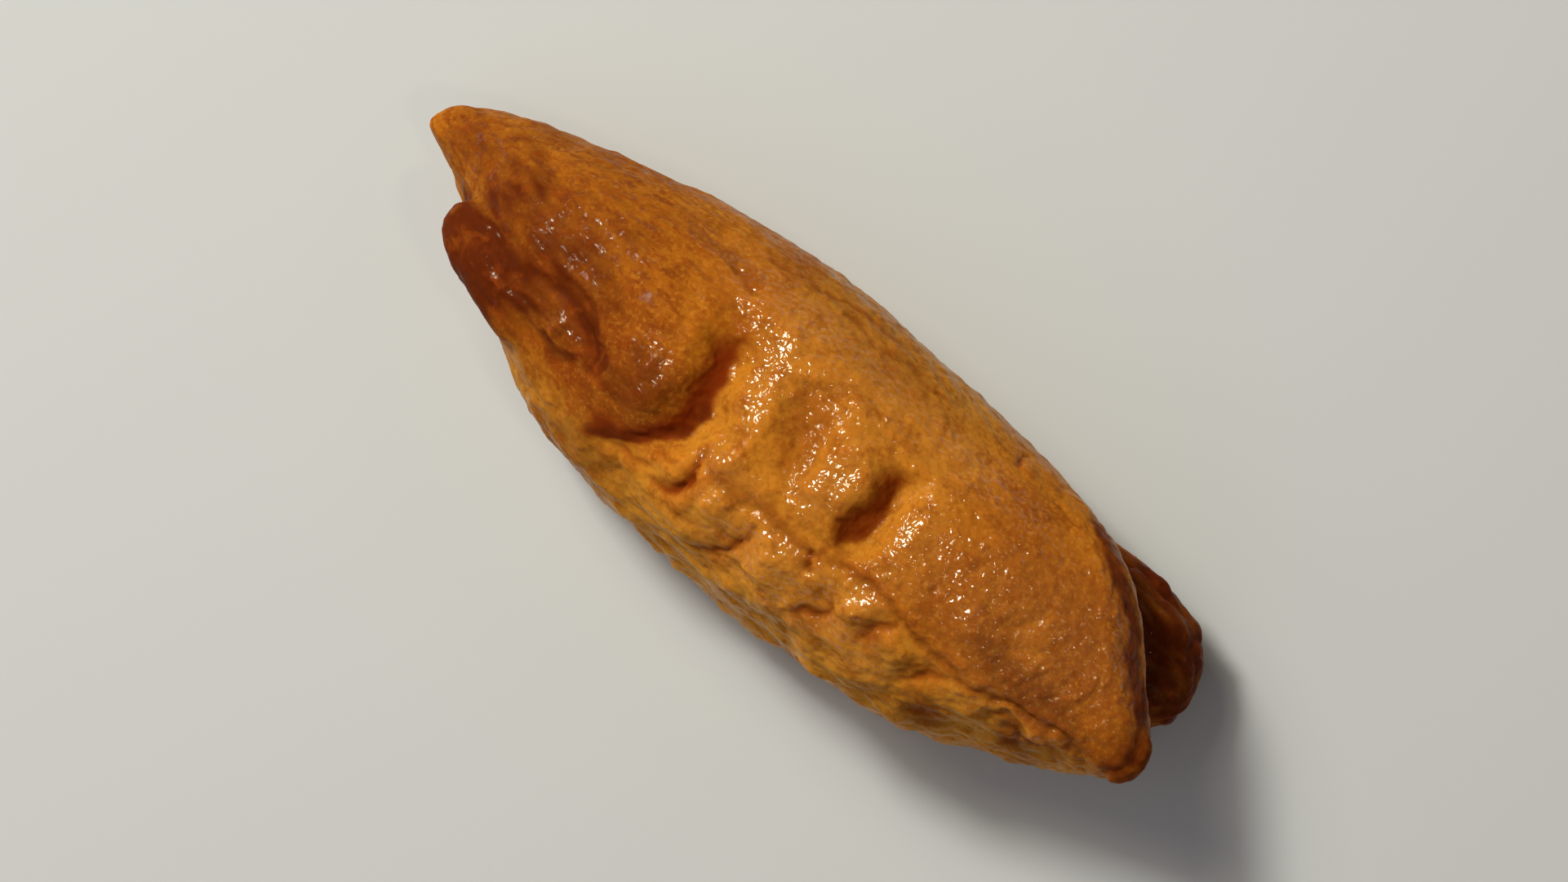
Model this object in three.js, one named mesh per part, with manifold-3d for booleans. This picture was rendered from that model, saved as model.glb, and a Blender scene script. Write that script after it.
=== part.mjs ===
// Inari sushi: one fried-tofu pouch, filled with rice, folded shut and laid on its side.
// Millimetres. +X runs from the low pointed end to the raised blunt tip, +Y to the smooth back,
// +Z up. The origin is the middle of the footprint's box, on the surface the pouch lies on.
import * as THREE from 'three';
import { mergeVertices } from 'three/addons/utils/BufferGeometryUtils.js';
import Module from 'manifold-3d';

// Driving dimensions
const LENGTH = 84; // from tip to tip
const BACK = 15.2; // furthest bulge behind the line between the tips
const FRONT = 14.1; // furthest bulge in front of that line
const HEIGHT = 28.3; // top of the filling's bulge
const SAG = 1.3; // how far the soft underside would sag if nothing held it up
const LOW_TIP = 8; // height of the pointed end's tip
const HIGH_TIP = 21; // height of the blunt tip
const FOLD_DEPTH = 3.2; // the deepest fold across the top face
const CREASE_DEPTH = 1; // the creases between the puckers of the front
const EAR = 3.5; // radius of the rolled ear at the pointed end
const CORNER = 5.6; // radius of the rounded lower corner at the blunt end

// Resolution of the skin: steps from tip to tip and round the body, which lie closer on the top face
const STEPS_ALONG = 96;
const STEPS_ROUND = 54;
const CROWDING = 0.3; // share by which the steps round the body lie closer there, and wider below
const EAR_STEPS = [22, 24];
const CORNER_STEPS = [18, 22];

const HALF = LENGTH / 2;
const TIP_GAP = 1.2; // between a tip's upper and lower side
const TIP_ROUNDING = 0.025; // share of the half length over which a tip closes
const BELLY_SHARE = 0.4; // height of the widest line, as a share of the local height
const RIM_SHARE = 0.8; // the same along the back at the blunt end, where the top has a raised rim
const RIM_START = 14; // stations between which the widest line climbs to the rim
const RIM_FULL = 34;
const ROUND_ABOVE = 2.3; // exponents of the section's superellipse
const ROUND_BELOW = 2.7;

// Four rails bound the body: seen from above its back and front, seen from the side its top and
// underside. A rail peaks at one station and falls to each tip; shoulder and nose are the powers
// that say how long it stays full and how sharply it comes down.
const RAILS = {
  back: {
    at: 2,
    peak: BACK,
    low: { end: 1, shoulder: 1.65, nose: 0.78 },
    high: { end: 3, shoulder: 6, nose: 1.85 },
  },
  front: {
    at: -7.5,
    peak: -FRONT,
    low: { end: -1, shoulder: 2, nose: 1.55 },
    high: { end: -1.5, shoulder: 3.5, nose: 1.3 },
  },
  top: {
    at: 11,
    peak: HEIGHT,
    low: { end: LOW_TIP + TIP_GAP / 2, shoulder: 2.9, nose: 1.1 },
    high: { end: HIGH_TIP + TIP_GAP / 2, shoulder: 1.9, nose: 0.8 },
  },
  under: {
    at: 9.5,
    peak: -SAG,
    low: { end: LOW_TIP - TIP_GAP / 2, shoulder: 6, nose: 1.15 },
    high: { end: HIGH_TIP - TIP_GAP / 2, shoulder: 8, nose: 1.15 },
  },
};

// Relief is drawn on the skin as strokes along lines seen from one side. A positive depth presses a
// crease whose shoulders meet in a sharp valley, or in a rounded one; a negative depth raises a
// rounded swell. wide is the reach to the left and right of the direction of travel, fade the share
// of the length over which the start and the end run out, and above the height it stays over.
function stroke(path, wide, deep, fade, { view = 'top', above = -Infinity, sharp = deep > 0 } = {}) {
  return { path, wide, deep, fade, view, above, sharp };
}

const moved = (path, x, y) => path.map(([px, py]) => [px + x, py + y]);

const BIG_FOLD = [
  [-8.4, 7.2], [-7.8, 4], [-6.9, 0], [-6.1, -2.6], [-6.3, -5], [-7, -7], [-9.2, -9.2], [-12.6, -11],
];
const SMALL_FOLD = [[10.2, 6.6], [10.8, 3.6], [11.1, 0.8], [10.7, -1.4], [9.8, -3.2]];
const CRISP_EDGE = [
  [40, -1.4], [35, -1.4], [31.6, -1.9], [26, -3], [21.5, -3.3], [17, -2.7], [12.2, -3], [9.4, -3.8],
];
const SOFT_EDGE = [[9.4, -3.8], [6.4, -4.6], [4, -4.2], [0.5, -4.8], [-2.2, -4.6], [-4.4, -3.8]];
const HOOK = [[-31, -3], [-27, -3.5], [-23, -3.8], [-19.4, -4.6], [-17, -5.8], [-18.4, -7.2]];
const RIM_LINE = [[24, 14.2], [27.5, 13], [31, 11.2], [34.6, 8.4], [38, 5.4], [40.4, 3]];

// Each fold falls gently from the low end's side and ends at a short steep bank; a dip and a bulge
// lie between the two
const ROUNDED = { sharp: false };
const FOLDS = [
  stroke(BIG_FOLD, [1.9, 3.6], 0.4 * FOLD_DEPTH, [0.3, 0.5], ROUNDED),
  stroke(BIG_FOLD, [4.4, 4.4], 0.6 * FOLD_DEPTH, [0.25, 0.5], ROUNDED),
  stroke(SMALL_FOLD, [1.9, 2.6], 0.35 * FOLD_DEPTH, [0.4, 0.4], ROUNDED),
  stroke(SMALL_FOLD, [3.4, 3], 0.3 * FOLD_DEPTH, [0.3, 0.35], ROUNDED),
  stroke([[-0.6, 7], [0.8, 2.8], [2.8, -3.2]], [3, 3], 1, [0.5, 0.5], ROUNDED),
  stroke([[6, 6], [6.9, 1], [7.6, -3.6]], [2.4, 4.2], -1.1, [0.5, 0.5]),
];

// The pouch's closed long edge: a lip along the top face with a groove below it
const EDGE = [
  stroke(CRISP_EDGE, [1.1, 0.8], -0.3, [0.15, 0.15]),
  stroke(moved(CRISP_EDGE, 0, -0.9), [1.4, 2.2], 0.4, [0.2, 0.2]),
  stroke(moved(SOFT_EDGE, 0, -0.9), [1.2, 2], 0.4, [0.25, 0.25]),
];

// Creases between the puckers that hang from that edge, with their share of the depth, and the
// puckers' crowns, with their reach
const CREASES = [
  { path: [[-4, -5], [-3, -7.2], [-3.3, -9.2], [-6.6, -11]], share: 1, wide: [1, 1.8] },
  { path: [[2.8, -6], [3.2, -9.2], [2.4, -11], [0.6, -12.2]], share: 0.6, wide: [0.9, 1.6] },
  { path: [[8.4, -4.4], [9.3, -5.4], [10, -6.8]], share: 0.7, wide: [0.9, 1.4] },
  { path: [[12.4, -6], [13, -8], [11.6, -9.6], [12.2, -10.8]], share: 0.6, wide: [1, 2.2] },
  { path: [[18.8, -4.2], [17.4, -6], [16.4, -7.8]], share: 0.55, wide: [1, 2] },
  { path: [[24.4, -4.6], [22.9, -6.4], [21.3, -8.4]], share: 0.5, wide: [1, 1.8] },
  { path: [[32.2, -4.2], [33, -5], [31.4, -6.6]], share: 0.4, wide: [1, 1.6] },
  { path: [[26.4, -7.2], [25, -8.4], [23.4, -9.4]], share: 0.4, wide: [1, 1.6] },
  { path: [[-7.6, -8.2], [-5.8, -8.2], [-4.4, -7.2]], share: 0.3, wide: [0.9, 1.1] },
  { path: [[-10.8, -10.6], [-8.2, -10.4], [-6.2, -9.8]], share: 0.3, wide: [0.9, 1.2] },
].map(({ path, share, wide }) => stroke(path, wide, share * CREASE_DEPTH, [0.4, 0.4]));
const CROWNS = [
  { path: [[-5.4, -5.8], [-5.2, -9]], reach: 2, share: 0.5 },
  { path: [[-0.6, -6.4], [-0.4, -9.4]], reach: 2.8, share: 0.45 },
  { path: [[6.4, -6.4], [6.8, -10]], reach: 3, share: 0.45 },
  { path: [[14.4, -4.4], [14.6, -7.4]], reach: 2.2, share: 0.6 },
  { path: [[19.8, -5.6], [19.6, -7.4]], reach: 2, share: 0.5 },
  { path: [[28.3, -5], [27.8, -6.6]], reach: 2, share: 0.4 },
].map(({ path, reach, share }) => stroke(path, [reach, reach], -share * CREASE_DEPTH, [0.6, 0.6]));

// The skin gathered round the rolled ear of the low end: a hooked hollow, and the ear's foot
const EAR_GATHER = [
  stroke(HOOK, [2.8, 2.4], 0.5, [0.6, 0.6]),
  stroke([[-24, -4.2], [-20, -4.5], [-17, -5.4], [-17.4, -7]], [2.8, 2.6], 1, [0.6, 0.6]),
  stroke([[-30.5, -8], [-24, -7.9], [-18, -8], [-13, -9]], [1.6, 2.2], 0.45, [0.4, 0.4]),
  stroke([[-12.8, -3], [-12.2, -5], [-12.8, -7.4]], [2, 2.4], 0.35, [0.5, 0.5]),
];

// The diagonal rim of the top face at the blunt end, the rolled tip, and the back's creases
const RIM = [
  stroke(moved(RIM_LINE, -1.2, -1.4), [0.8, 1.6], -0.2, [0.25, 0.25], { above: 14 }),
  stroke(moved(RIM_LINE, -0.2, -0.3), [1.8, 1.3], 0.1, [0.2, 0.2], { above: 13 }),
  stroke([[40.2, 3.6], [40.4, 1], [40, -1.8]], [0.8, 1.4], 0.25, [0.3, 0.3], { above: 14 }),
  stroke([[24, 17], [31, 15.6], [40, 14.6]], [2.6, 2.6], 0.9, [0.35, 0.35], { view: 'back' }),
  stroke([[22, 12.4], [30, 9.8], [38, 8.8]], [1.6, 1.6], 0.8, [0.4, 0.4], { view: 'back' }),
  stroke([[24, 7.4], [32, 5.8], [39, 5.4]], [1.6, 1.6], 0.6, [0.4, 0.4], { view: 'back' }),
];

const STROKES = [...FOLDS, ...EDGE, ...CREASES, ...CROWNS, ...EAR_GATHER, ...RIM];
const SAMPLES = 24; // points on a stroke's smooth line

// Each view's two plan axes, and the axis that it looks down
const VIEWS = {
  top: { plan: ['x', 'y'], along: 'z' },
  back: { plan: ['x', 'z'], along: 'y' },
};

// Unevenness of the skin over the rice: wavelength, height and where it applies
const RIPPLES = [
  { wave: 17, height: 0.38, seed: 1, where: calmBack },
  { wave: 7, height: 0.2, seed: 2, where: calmBack },
  { wave: 4.6, height: 0.14, seed: 3, where: puckeredFront },
];
const RIPPLE_WAVES = 9;

const clamp01 = (value) => THREE.MathUtils.clamp(value, 0, 1);

function calmBack(point) {
  return 1 - 0.75 * clamp01((point.y - 1) / 5);
}

function puckeredFront(point) {
  return clamp01((-point.y - 4) / 4) * THREE.MathUtils.clamp((point.x + 8) / 6, 0.3, 1);
}

// Offset of a rail at station x
function rail(x, { at, peak, low, high }) {
  const { end, shoulder, nose } = x < at ? low : high;
  const span = x < at ? HALF + at : HALF - at;
  const reach = clamp01(Math.abs(x - at) / span);
  return end + (peak - end) * (1 - reach ** shoulder) ** nose;
}

// Point of the body's skin: along runs from -1 to 1 between the tips, around is an angle from the
// back over the top
function skinPoint(along, around) {
  const x = HALF * along;
  const back = rail(x, RAILS.back);
  const front = rail(x, RAILS.front);
  const top = rail(x, RAILS.top);
  const under = rail(x, RAILS.under);
  const closing = clamp01((Math.abs(along) - 1 + TIP_ROUNDING) / TIP_ROUNDING);
  const size = Math.sqrt(1 - closing ** 2);
  const across = Math.cos(around);
  const upward = Math.sin(around);
  const power = 2 / (upward > 0 ? ROUND_ABOVE : ROUND_BELOW);
  const climb = (THREE.MathUtils.smoothstep(x, RIM_START, RIM_FULL) * (1 + across)) / 2;
  const belly = under + THREE.MathUtils.lerp(BELLY_SHARE, RIM_SHARE, climb) * (top - under);
  const tall = upward > 0 ? top - belly : belly - under;
  const y = (back + front) / 2 + size * ((back - front) / 2) * Math.sign(across) * Math.abs(across) ** power;
  const z = belly + size * tall * Math.sign(upward) * Math.abs(upward) ** power;
  return new THREE.Vector3(x, y, z);
}

// Closed skin over a sphere grid whose poles are the tips; place gives each point from its share
// along (-1 to 1) and its angle around, and crowding gathers the angles towards the top
function sphereSkin(stepsAlong, stepsRound, place, crowding = 0) {
  const sphere = new THREE.SphereGeometry(1, stepsRound, stepsAlong);
  sphere.deleteAttribute('normal');
  sphere.deleteAttribute('uv');
  const skin = mergeVertices(sphere);
  const points = skin.attributes.position;
  for (let i = 0; i < points.count; i += 1) {
    const pole = points.getY(i);
    const even = 1 - (2 * Math.acos(THREE.MathUtils.clamp(pole, -1, 1))) / Math.PI;
    const turn = Math.atan2(points.getX(i), points.getZ(i));
    const point = place((pole + even) / 2, turn + crowding * Math.cos(turn));
    points.setXYZ(i, point.x, point.y, point.z);
  }
  skin.computeVertexNormals();
  return skin;
}

// Distance from a point to a line of points, positive on the left, and the share of the way along
function alongLine(point, line) {
  let best = Infinity;
  let side = 1;
  let share = 0;
  const span = line.length - 1;
  for (let i = 0; i < span; i += 1) {
    const step = line[i + 1].clone().sub(line[i]);
    const offset = point.clone().sub(line[i]);
    const t = clamp01(offset.dot(step) / step.lengthSq());
    const distance = offset.clone().addScaledVector(step, -t).length();
    if (distance < best) {
      best = distance;
      side = Math.sign(step.cross(offset)) || 1;
      share = (i + t) / span;
    }
  }
  return { distance: best * side, share };
}

const crease = (r) => (1 - r) ** 2;
const swell = (r) => (1 - r ** 2) ** 2;

// Function that gives a stroke's depth at a point with its normal
function strokeDepth({ path, wide, deep, fade, view, above, sharp }) {
  const { plan, along } = VIEWS[view];
  const curve = new THREE.SplineCurve(path.map(([x, y]) => new THREE.Vector2(x, y)));
  const line = curve.getPoints(SAMPLES);
  const box = new THREE.Box2().setFromPoints(line).expandByScalar(Math.max(...wide));
  const across = sharp ? crease : swell;
  return (point, normal) => {
    const spot = new THREE.Vector2(point[plan[0]], point[plan[1]]);
    if (!box.containsPoint(spot)) return 0;
    const { distance, share } = alongLine(spot, line);
    const profile = across(clamp01(Math.abs(distance) / (distance > 0 ? wide[0] : wide[1])));
    const run = clamp01(Math.min(share / fade[0], (1 - share) / fade[1]));
    const facing = THREE.MathUtils.smoothstep(normal[along], -0.15, 0.25);
    const high = THREE.MathUtils.smoothstep(point.z, above - 1, above + 1);
    return deep * profile * Math.sin((run * Math.PI) / 2) * facing * (above === -Infinity ? 1 : high);
  };
}

// Sum of waves that run in spread directions, about -1 to 1
function ripple(point, wave, seed) {
  let sum = 0;
  for (let i = 0; i < RIPPLE_WAVES; i += 1) {
    const k = i + 7.31 * seed;
    const run = new THREE.Vector3(Math.sin(2.4 * k), Math.cos(3.7 * k + 1), Math.sin(5.1 * k + 2));
    const length = wave * (0.7 + 0.6 * ((0.618 * k) % 1));
    sum += Math.sin((2 * Math.PI * run.normalize().dot(point)) / length + 4.1 * k);
  }
  return sum / Math.sqrt(RIPPLE_WAVES);
}

// Presses the strokes and the ripples into a skin along its normals
function emboss(skin) {
  const depths = STROKES.map(strokeDepth);
  const points = skin.attributes.position;
  const normals = skin.attributes.normal;
  const point = new THREE.Vector3();
  const normal = new THREE.Vector3();
  for (let i = 0; i < points.count; i += 1) {
    point.fromBufferAttribute(points, i);
    normal.fromBufferAttribute(normals, i);
    let depth = 0;
    for (const depthAt of depths) depth += depthAt(point, normal);
    for (const { wave, height, seed, where } of RIPPLES) {
      depth -= height * where(point) * ripple(point, wave, seed);
    }
    point.addScaledVector(normal, -depth);
    points.setXYZ(i, point.x, point.y, point.z);
  }
  return skin;
}

// Rounded lobe on an arched axis from start to end, with a radius at each and a flattening in height
function lobe({ start, end, radii, flat, arch, blunt, steps }) {
  const from = new THREE.Vector3(...start);
  const axis = new THREE.Vector3(...end).sub(from);
  const side = new THREE.Vector3(0, 0, 1).cross(axis).normalize();
  const up = axis.clone().cross(side).normalize();
  const bow = new THREE.Vector3(...arch);
  return sphereSkin(...steps, (along, around) => {
    const t = (along + 1) / 2;
    const radius = THREE.MathUtils.lerp(...radii, t) * (1 - along ** 4) ** blunt;
    const point = from.clone().addScaledVector(axis, t);
    point.addScaledVector(bow, 4 * t * (1 - t));
    point.addScaledVector(side, radius * Math.cos(around));
    return point.addScaledVector(up, radius * flat * Math.sin(around));
  });
}

const body = () => sphereSkin(STEPS_ALONG, STEPS_ROUND, skinPoint, CROWDING);

// Rolled ear beside the low tip
function ear() {
  return lobe({
    start: [-15, -5, 17],
    end: [-35.2, -4.8, 13.4],
    radii: [0.9 * EAR, EAR],
    flat: 0.8,
    arch: [0, -1.1, 1.4],
    blunt: 0.5,
    steps: EAR_STEPS,
  });
}

// Rounded lower corner below the high tip
function corner() {
  return lobe({
    start: [20, 3, 8],
    end: [HALF, 8.6, 6.2],
    radii: [1.6 * CORNER, CORNER],
    flat: 0.9,
    arch: [0, 1.8, 0],
    blunt: 0.45,
    steps: CORNER_STEPS,
  });
}

// Everything below the surface that the pouch lies on
function surface() {
  const slab = new THREE.BoxGeometry(2 * LENGTH, LENGTH, LENGTH).translate(0, 0, -LENGTH / 2);
  slab.deleteAttribute('normal');
  slab.deleteAttribute('uv');
  return mergeVertices(slab);
}

const wasm = await Module();
wasm.setup();

function toSolid(geometry) {
  const vertProperties = new Float32Array(geometry.attributes.position.array);
  const triVerts = new Uint32Array(geometry.index.array);
  return new wasm.Manifold(new wasm.Mesh({ numProp: 3, vertProperties, triVerts }));
}

function toGeometry(solid) {
  const { vertProperties, triVerts } = solid.getMesh();
  const geometry = new THREE.BufferGeometry();
  geometry.setAttribute('position', new THREE.BufferAttribute(vertProperties, 3));
  geometry.setIndex(new THREE.BufferAttribute(triVerts, 1));
  return geometry;
}

// Moves the origin to the middle of the box's underside
function onOrigin(geometry) {
  geometry.computeBoundingBox();
  const { min, max } = geometry.boundingBox;
  return geometry.translate(-(min.x + max.x) / 2, -(min.y + max.y) / 2, -min.z);
}

// Simmered fried tofu: golden-brown skin with a thin syrupy glaze
function tofuSkin() {
  return new THREE.MeshStandardMaterial({ color: 0xb5691f, roughness: 0.38, metalness: 0 });
}

function pouch() {
  const [whole, ...lobes] = [body(), ear(), corner()].map((skin) => toSolid(emboss(skin)));
  const lying = lobes.reduce((sum, next) => sum.add(next), whole).subtract(toSolid(surface()));
  const mesh = new THREE.Mesh(onOrigin(toGeometry(lying)), tofuSkin());
  mesh.name = 'pouch';
  return mesh;
}

const inari = new THREE.Group();
inari.add(pouch());
export default inari;
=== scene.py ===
"""Inari sushi: a simmered fried-tofu pouch, filled with rice and folded shut, dressed and lit.

Every size is in millimetres in the pouch's own plan until the last step, which lays the skin into
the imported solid's box in metres.
"""

import math
from functools import partial

import bpy
import numpy as np
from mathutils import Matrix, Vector


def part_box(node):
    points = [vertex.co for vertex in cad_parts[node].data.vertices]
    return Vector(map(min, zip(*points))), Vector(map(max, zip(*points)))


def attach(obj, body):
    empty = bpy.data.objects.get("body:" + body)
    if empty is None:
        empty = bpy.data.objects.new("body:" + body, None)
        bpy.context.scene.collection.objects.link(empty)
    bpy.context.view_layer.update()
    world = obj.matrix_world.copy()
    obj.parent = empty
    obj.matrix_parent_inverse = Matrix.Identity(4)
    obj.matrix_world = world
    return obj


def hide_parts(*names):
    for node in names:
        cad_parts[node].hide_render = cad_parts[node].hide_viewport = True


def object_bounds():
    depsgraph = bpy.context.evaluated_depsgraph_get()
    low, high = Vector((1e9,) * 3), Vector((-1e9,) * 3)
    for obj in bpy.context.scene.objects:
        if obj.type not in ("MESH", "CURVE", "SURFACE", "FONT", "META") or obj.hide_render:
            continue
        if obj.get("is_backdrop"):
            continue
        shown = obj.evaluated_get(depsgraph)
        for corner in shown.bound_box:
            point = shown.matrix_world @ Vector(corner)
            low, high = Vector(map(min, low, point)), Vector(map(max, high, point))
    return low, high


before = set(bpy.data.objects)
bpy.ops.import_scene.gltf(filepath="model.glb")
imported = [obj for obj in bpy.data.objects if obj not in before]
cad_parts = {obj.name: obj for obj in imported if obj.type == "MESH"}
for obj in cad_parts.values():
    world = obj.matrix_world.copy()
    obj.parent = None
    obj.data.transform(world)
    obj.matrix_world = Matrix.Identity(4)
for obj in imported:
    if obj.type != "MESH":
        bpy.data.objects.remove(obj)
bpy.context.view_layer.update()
POUCH_LOW, POUCH_HIGH = (np.array(corner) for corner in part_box("pouch"))

bl_info = {
    "name": "Inari Sushi",
    "version": (1, 0, 0),
    "blender": (4, 5, 0),
    "location": "3D View > Sidebar > Inari",
    "description": "Folds, browns and glazes one inari pouch and sets up its table and lights",
    "category": "Object",
}

MM = 0.001

# ---------------------------------------------------------------- colours

def linear(hex_code):
    """An sRGB hex colour as linear red, green and blue."""
    channels = (int(hex_code[i:i + 2], 16) / 255 for i in (1, 3, 5))
    return tuple(c / 12.92 if c <= 0.04045 else ((c + 0.055) / 1.055) ** 2.4 for c in channels)


# ---------------------------------------------------------------- form of the pouch

HALF = (POUCH_HIGH[0] - POUCH_LOW[0]) / 2 / MM - 0.1  # half the length between the tips
BELLY_SHARE = 0.4  # height of the widest line, as a share of the local height
RIM_SHARE = 0.8  # the same along the back at the blunt end, where the top face has a raised rim
RIM_START, RIM_FULL = 14, 34  # stations between which the widest line climbs to the rim
ROUND_ABOVE = 2.3  # exponents of the section's superellipse
ROUND_BELOW = 2.7
TIP_ROUNDING = 0.025  # share of the half length over which a tip closes

# A rail bounds the body on one side. It peaks at one station and falls to each tip; each end holds
# its offset at the tip, how long the rail stays full, and how sharply it comes down.
RAILS = {
    "back": {"at": 2, "peak": 15.2, "low": (1.0, 1.65, 0.78), "high": (3.0, 6, 1.85)},
    "front": {"at": -7.5, "peak": -14.1, "low": (-1.0, 2, 1.55), "high": (-1.5, 3.5, 1.3)},
    "top": {"at": 11, "peak": 28.3, "low": (8.6, 2.9, 1.1), "high": (21.6, 1.9, 0.8)},
    "under": {"at": 9.5, "peak": -1.3, "low": (7.4, 6, 1.15), "high": (19.6, 8, 1.15)},
}

# Rounded lobes outside the body: each runs from start to end, its radii given as shares of one size
EAR = {"start": (-15, -5, 17), "end": (-35.2, -4.8, 13.4), "flat": 0.8, "arch": (0, -1.1, 1.4), "blunt": 0.5}
EAR_TAPER = (0.9, 1.0)
CORNER = {"start": (20, 3, 8), "end": (42, 8.6, 6.2), "flat": 0.9, "arch": (0, 1.8, 0), "blunt": 0.45}
CORNER_TAPER = (1.6, 1.0)

BODY_STEPS = (260, 180)
LOBE_STEPS = (48, 40)


def smoothstep(value, low, high):
    t = np.clip((value - low) / (high - low), 0, 1)
    return t * t * (3 - 2 * t)


def rail(name, x):
    """Offset of a rail at stations x."""
    shape = RAILS[name]
    low = x < shape["at"]
    end, shoulder, nose = (np.where(low, a, b) for a, b in zip(shape["low"], shape["high"]))
    span = np.where(low, HALF + shape["at"], HALF - shape["at"])
    reach = np.clip(np.abs(x - shape["at"]) / span, 0, 1)
    return end + (shape["peak"] - end) * (1 - reach ** shoulder) ** nose


def body_points(along, around):
    """Skin of the body: along runs from -1 to 1 between the tips, around from the back over the top."""
    x = HALF * along
    back, front, top, under = (rail(name, x) for name in ("back", "front", "top", "under"))
    closing = np.clip((np.abs(along) - 1 + TIP_ROUNDING) / TIP_ROUNDING, 0, 1)
    size = np.sqrt(1 - closing ** 2)
    across, upward = np.cos(around), np.sin(around)
    bend = 2 / np.where(upward > 0, ROUND_ABOVE, ROUND_BELOW)
    climb = smoothstep(x, RIM_START, RIM_FULL) * (1 + across) / 2
    belly = under + (BELLY_SHARE + (RIM_SHARE - BELLY_SHARE) * climb) * (top - under)
    tall = np.where(upward > 0, top - belly, belly - under)
    y = (back + front) / 2 + size * (back - front) / 2 * np.sign(across) * np.abs(across) ** bend
    z = belly + size * tall * np.sign(upward) * np.abs(upward) ** bend
    return np.stack([x, y, z], axis=-1)


def lobe_points(start, end, radii, flat, arch, blunt):
    """Function for the skin of a rounded lobe on an arched axis from start to end."""
    start, end, arch = (np.array(v, float) for v in (start, end, arch))
    axis = end - start
    side = np.cross([0, 0, 1], axis)
    side /= np.linalg.norm(side)
    up = np.cross(axis, side)
    up /= np.linalg.norm(up)

    def points(along, around):
        t = (along + 1) / 2
        radius = (radii[0] + (radii[1] - radii[0]) * t) * np.clip(1 - along ** 4, 0, 1) ** blunt
        spine = start + np.outer(t, axis) + np.outer(4 * t * (1 - t), arch)
        return (spine + np.outer(radius * np.cos(around), side)
                + np.outer(radius * flat * np.sin(around), up))

    return points


def sphere_grid(steps_along, steps_round, place):
    """Vertices and faces of a closed grid with a pole at each tip."""
    share = np.arange(1, steps_along) / steps_along
    along = (-np.cos(np.pi * share) + 2 * share - 1) / 2
    turn = 2 * np.pi * np.arange(steps_round) / steps_round
    grid_along, grid_turn = np.meshgrid(along, turn, indexing="ij")
    last = 1 + grid_along.size
    points = place(
        np.concatenate([[-1.0], grid_along.ravel(), [1.0]]),
        np.concatenate([[0.0], grid_turn.ravel(), [0.0]]),
    )

    def ring(i, j):
        return 1 + i * steps_round + j % steps_round

    faces = []
    for j in range(steps_round):
        faces.append((0, ring(0, j + 1), ring(0, j)))
        faces.append((last, ring(steps_along - 2, j), ring(steps_along - 2, j + 1)))
        for i in range(steps_along - 2):
            faces.append((ring(i, j), ring(i, j + 1), ring(i + 1, j + 1), ring(i + 1, j)))
    return points, faces


# ---------------------------------------------------------------- folds, creases and seams

# Lines in plan that folds, edges and stains share
BIG_FOLD = [
    (-8.4, 7.2), (-7.8, 4), (-6.9, 0), (-6.1, -2.6), (-6.3, -5), (-7.0, -7), (-9.2, -9.2), (-12.6, -11),
]
SMALL_FOLD = [(10.2, 6.6), (10.8, 3.6), (11.1, 0.8), (10.7, -1.4), (9.8, -3.2)]
LONG_EDGE = [
    (40, -1.4), (35, -1.4), (31.6, -1.9), (26, -3), (21.5, -3.3), (17, -2.7), (12.2, -3), (9.4, -3.8),
    (6.4, -4.6), (4, -4.2), (0.5, -4.8), (-2.2, -4.6), (-4.4, -3.8),
]
CRISP_POINTS = 8  # points of the long edge, from the blunt end, where its fold is still crisp
LOWER_LIP = [(38.5, -2.6), (34.5, -3), (30.5, -3.7), (27.5, -4.9)]
RIM = [(24, 14.2), (27.5, 13.0), (31, 11.2), (34.6, 8.4), (38, 5.4), (40.4, 3.0)]
HOOK = [(-31, -3.0), (-27, -3.5), (-23, -3.8), (-19.4, -4.6), (-17, -5.8), (-18.4, -7.2)]
EAR_FOOT = [(-30.5, -8.0), (-24, -7.9), (-18, -8.0), (-13, -9)]


def stroke(path, wide, deep, fade, view="top", stain_and_shade=0.0, above=-99.0, sharp=True):
    """One line drawn along a path seen from one side. Where deep is positive it presses a crease, whose
    shoulders meet in a sharp valley, or in a rounded one; where negative it raises a rounded swell, and
    at zero it only paints. wide is its reach on the path's left and right. fade is the share of its
    length over which each end runs out. The stain share is how much colour it paints: broth stain, and
    painted shade where the line lies in a fold, crease, groove or hollow. above is the height that it
    stays over."""
    return {
        "path": path, "wide": wide, "deep": deep, "view": view, "stain_and_shade": stain_and_shade, "above": above,
        "fade": fade if isinstance(fade, tuple) else (fade, fade), "sharp": sharp and deep > 0,
    }


def moved(path, x, y):
    return [(px + x, py + y) for px, py in path]


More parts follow.
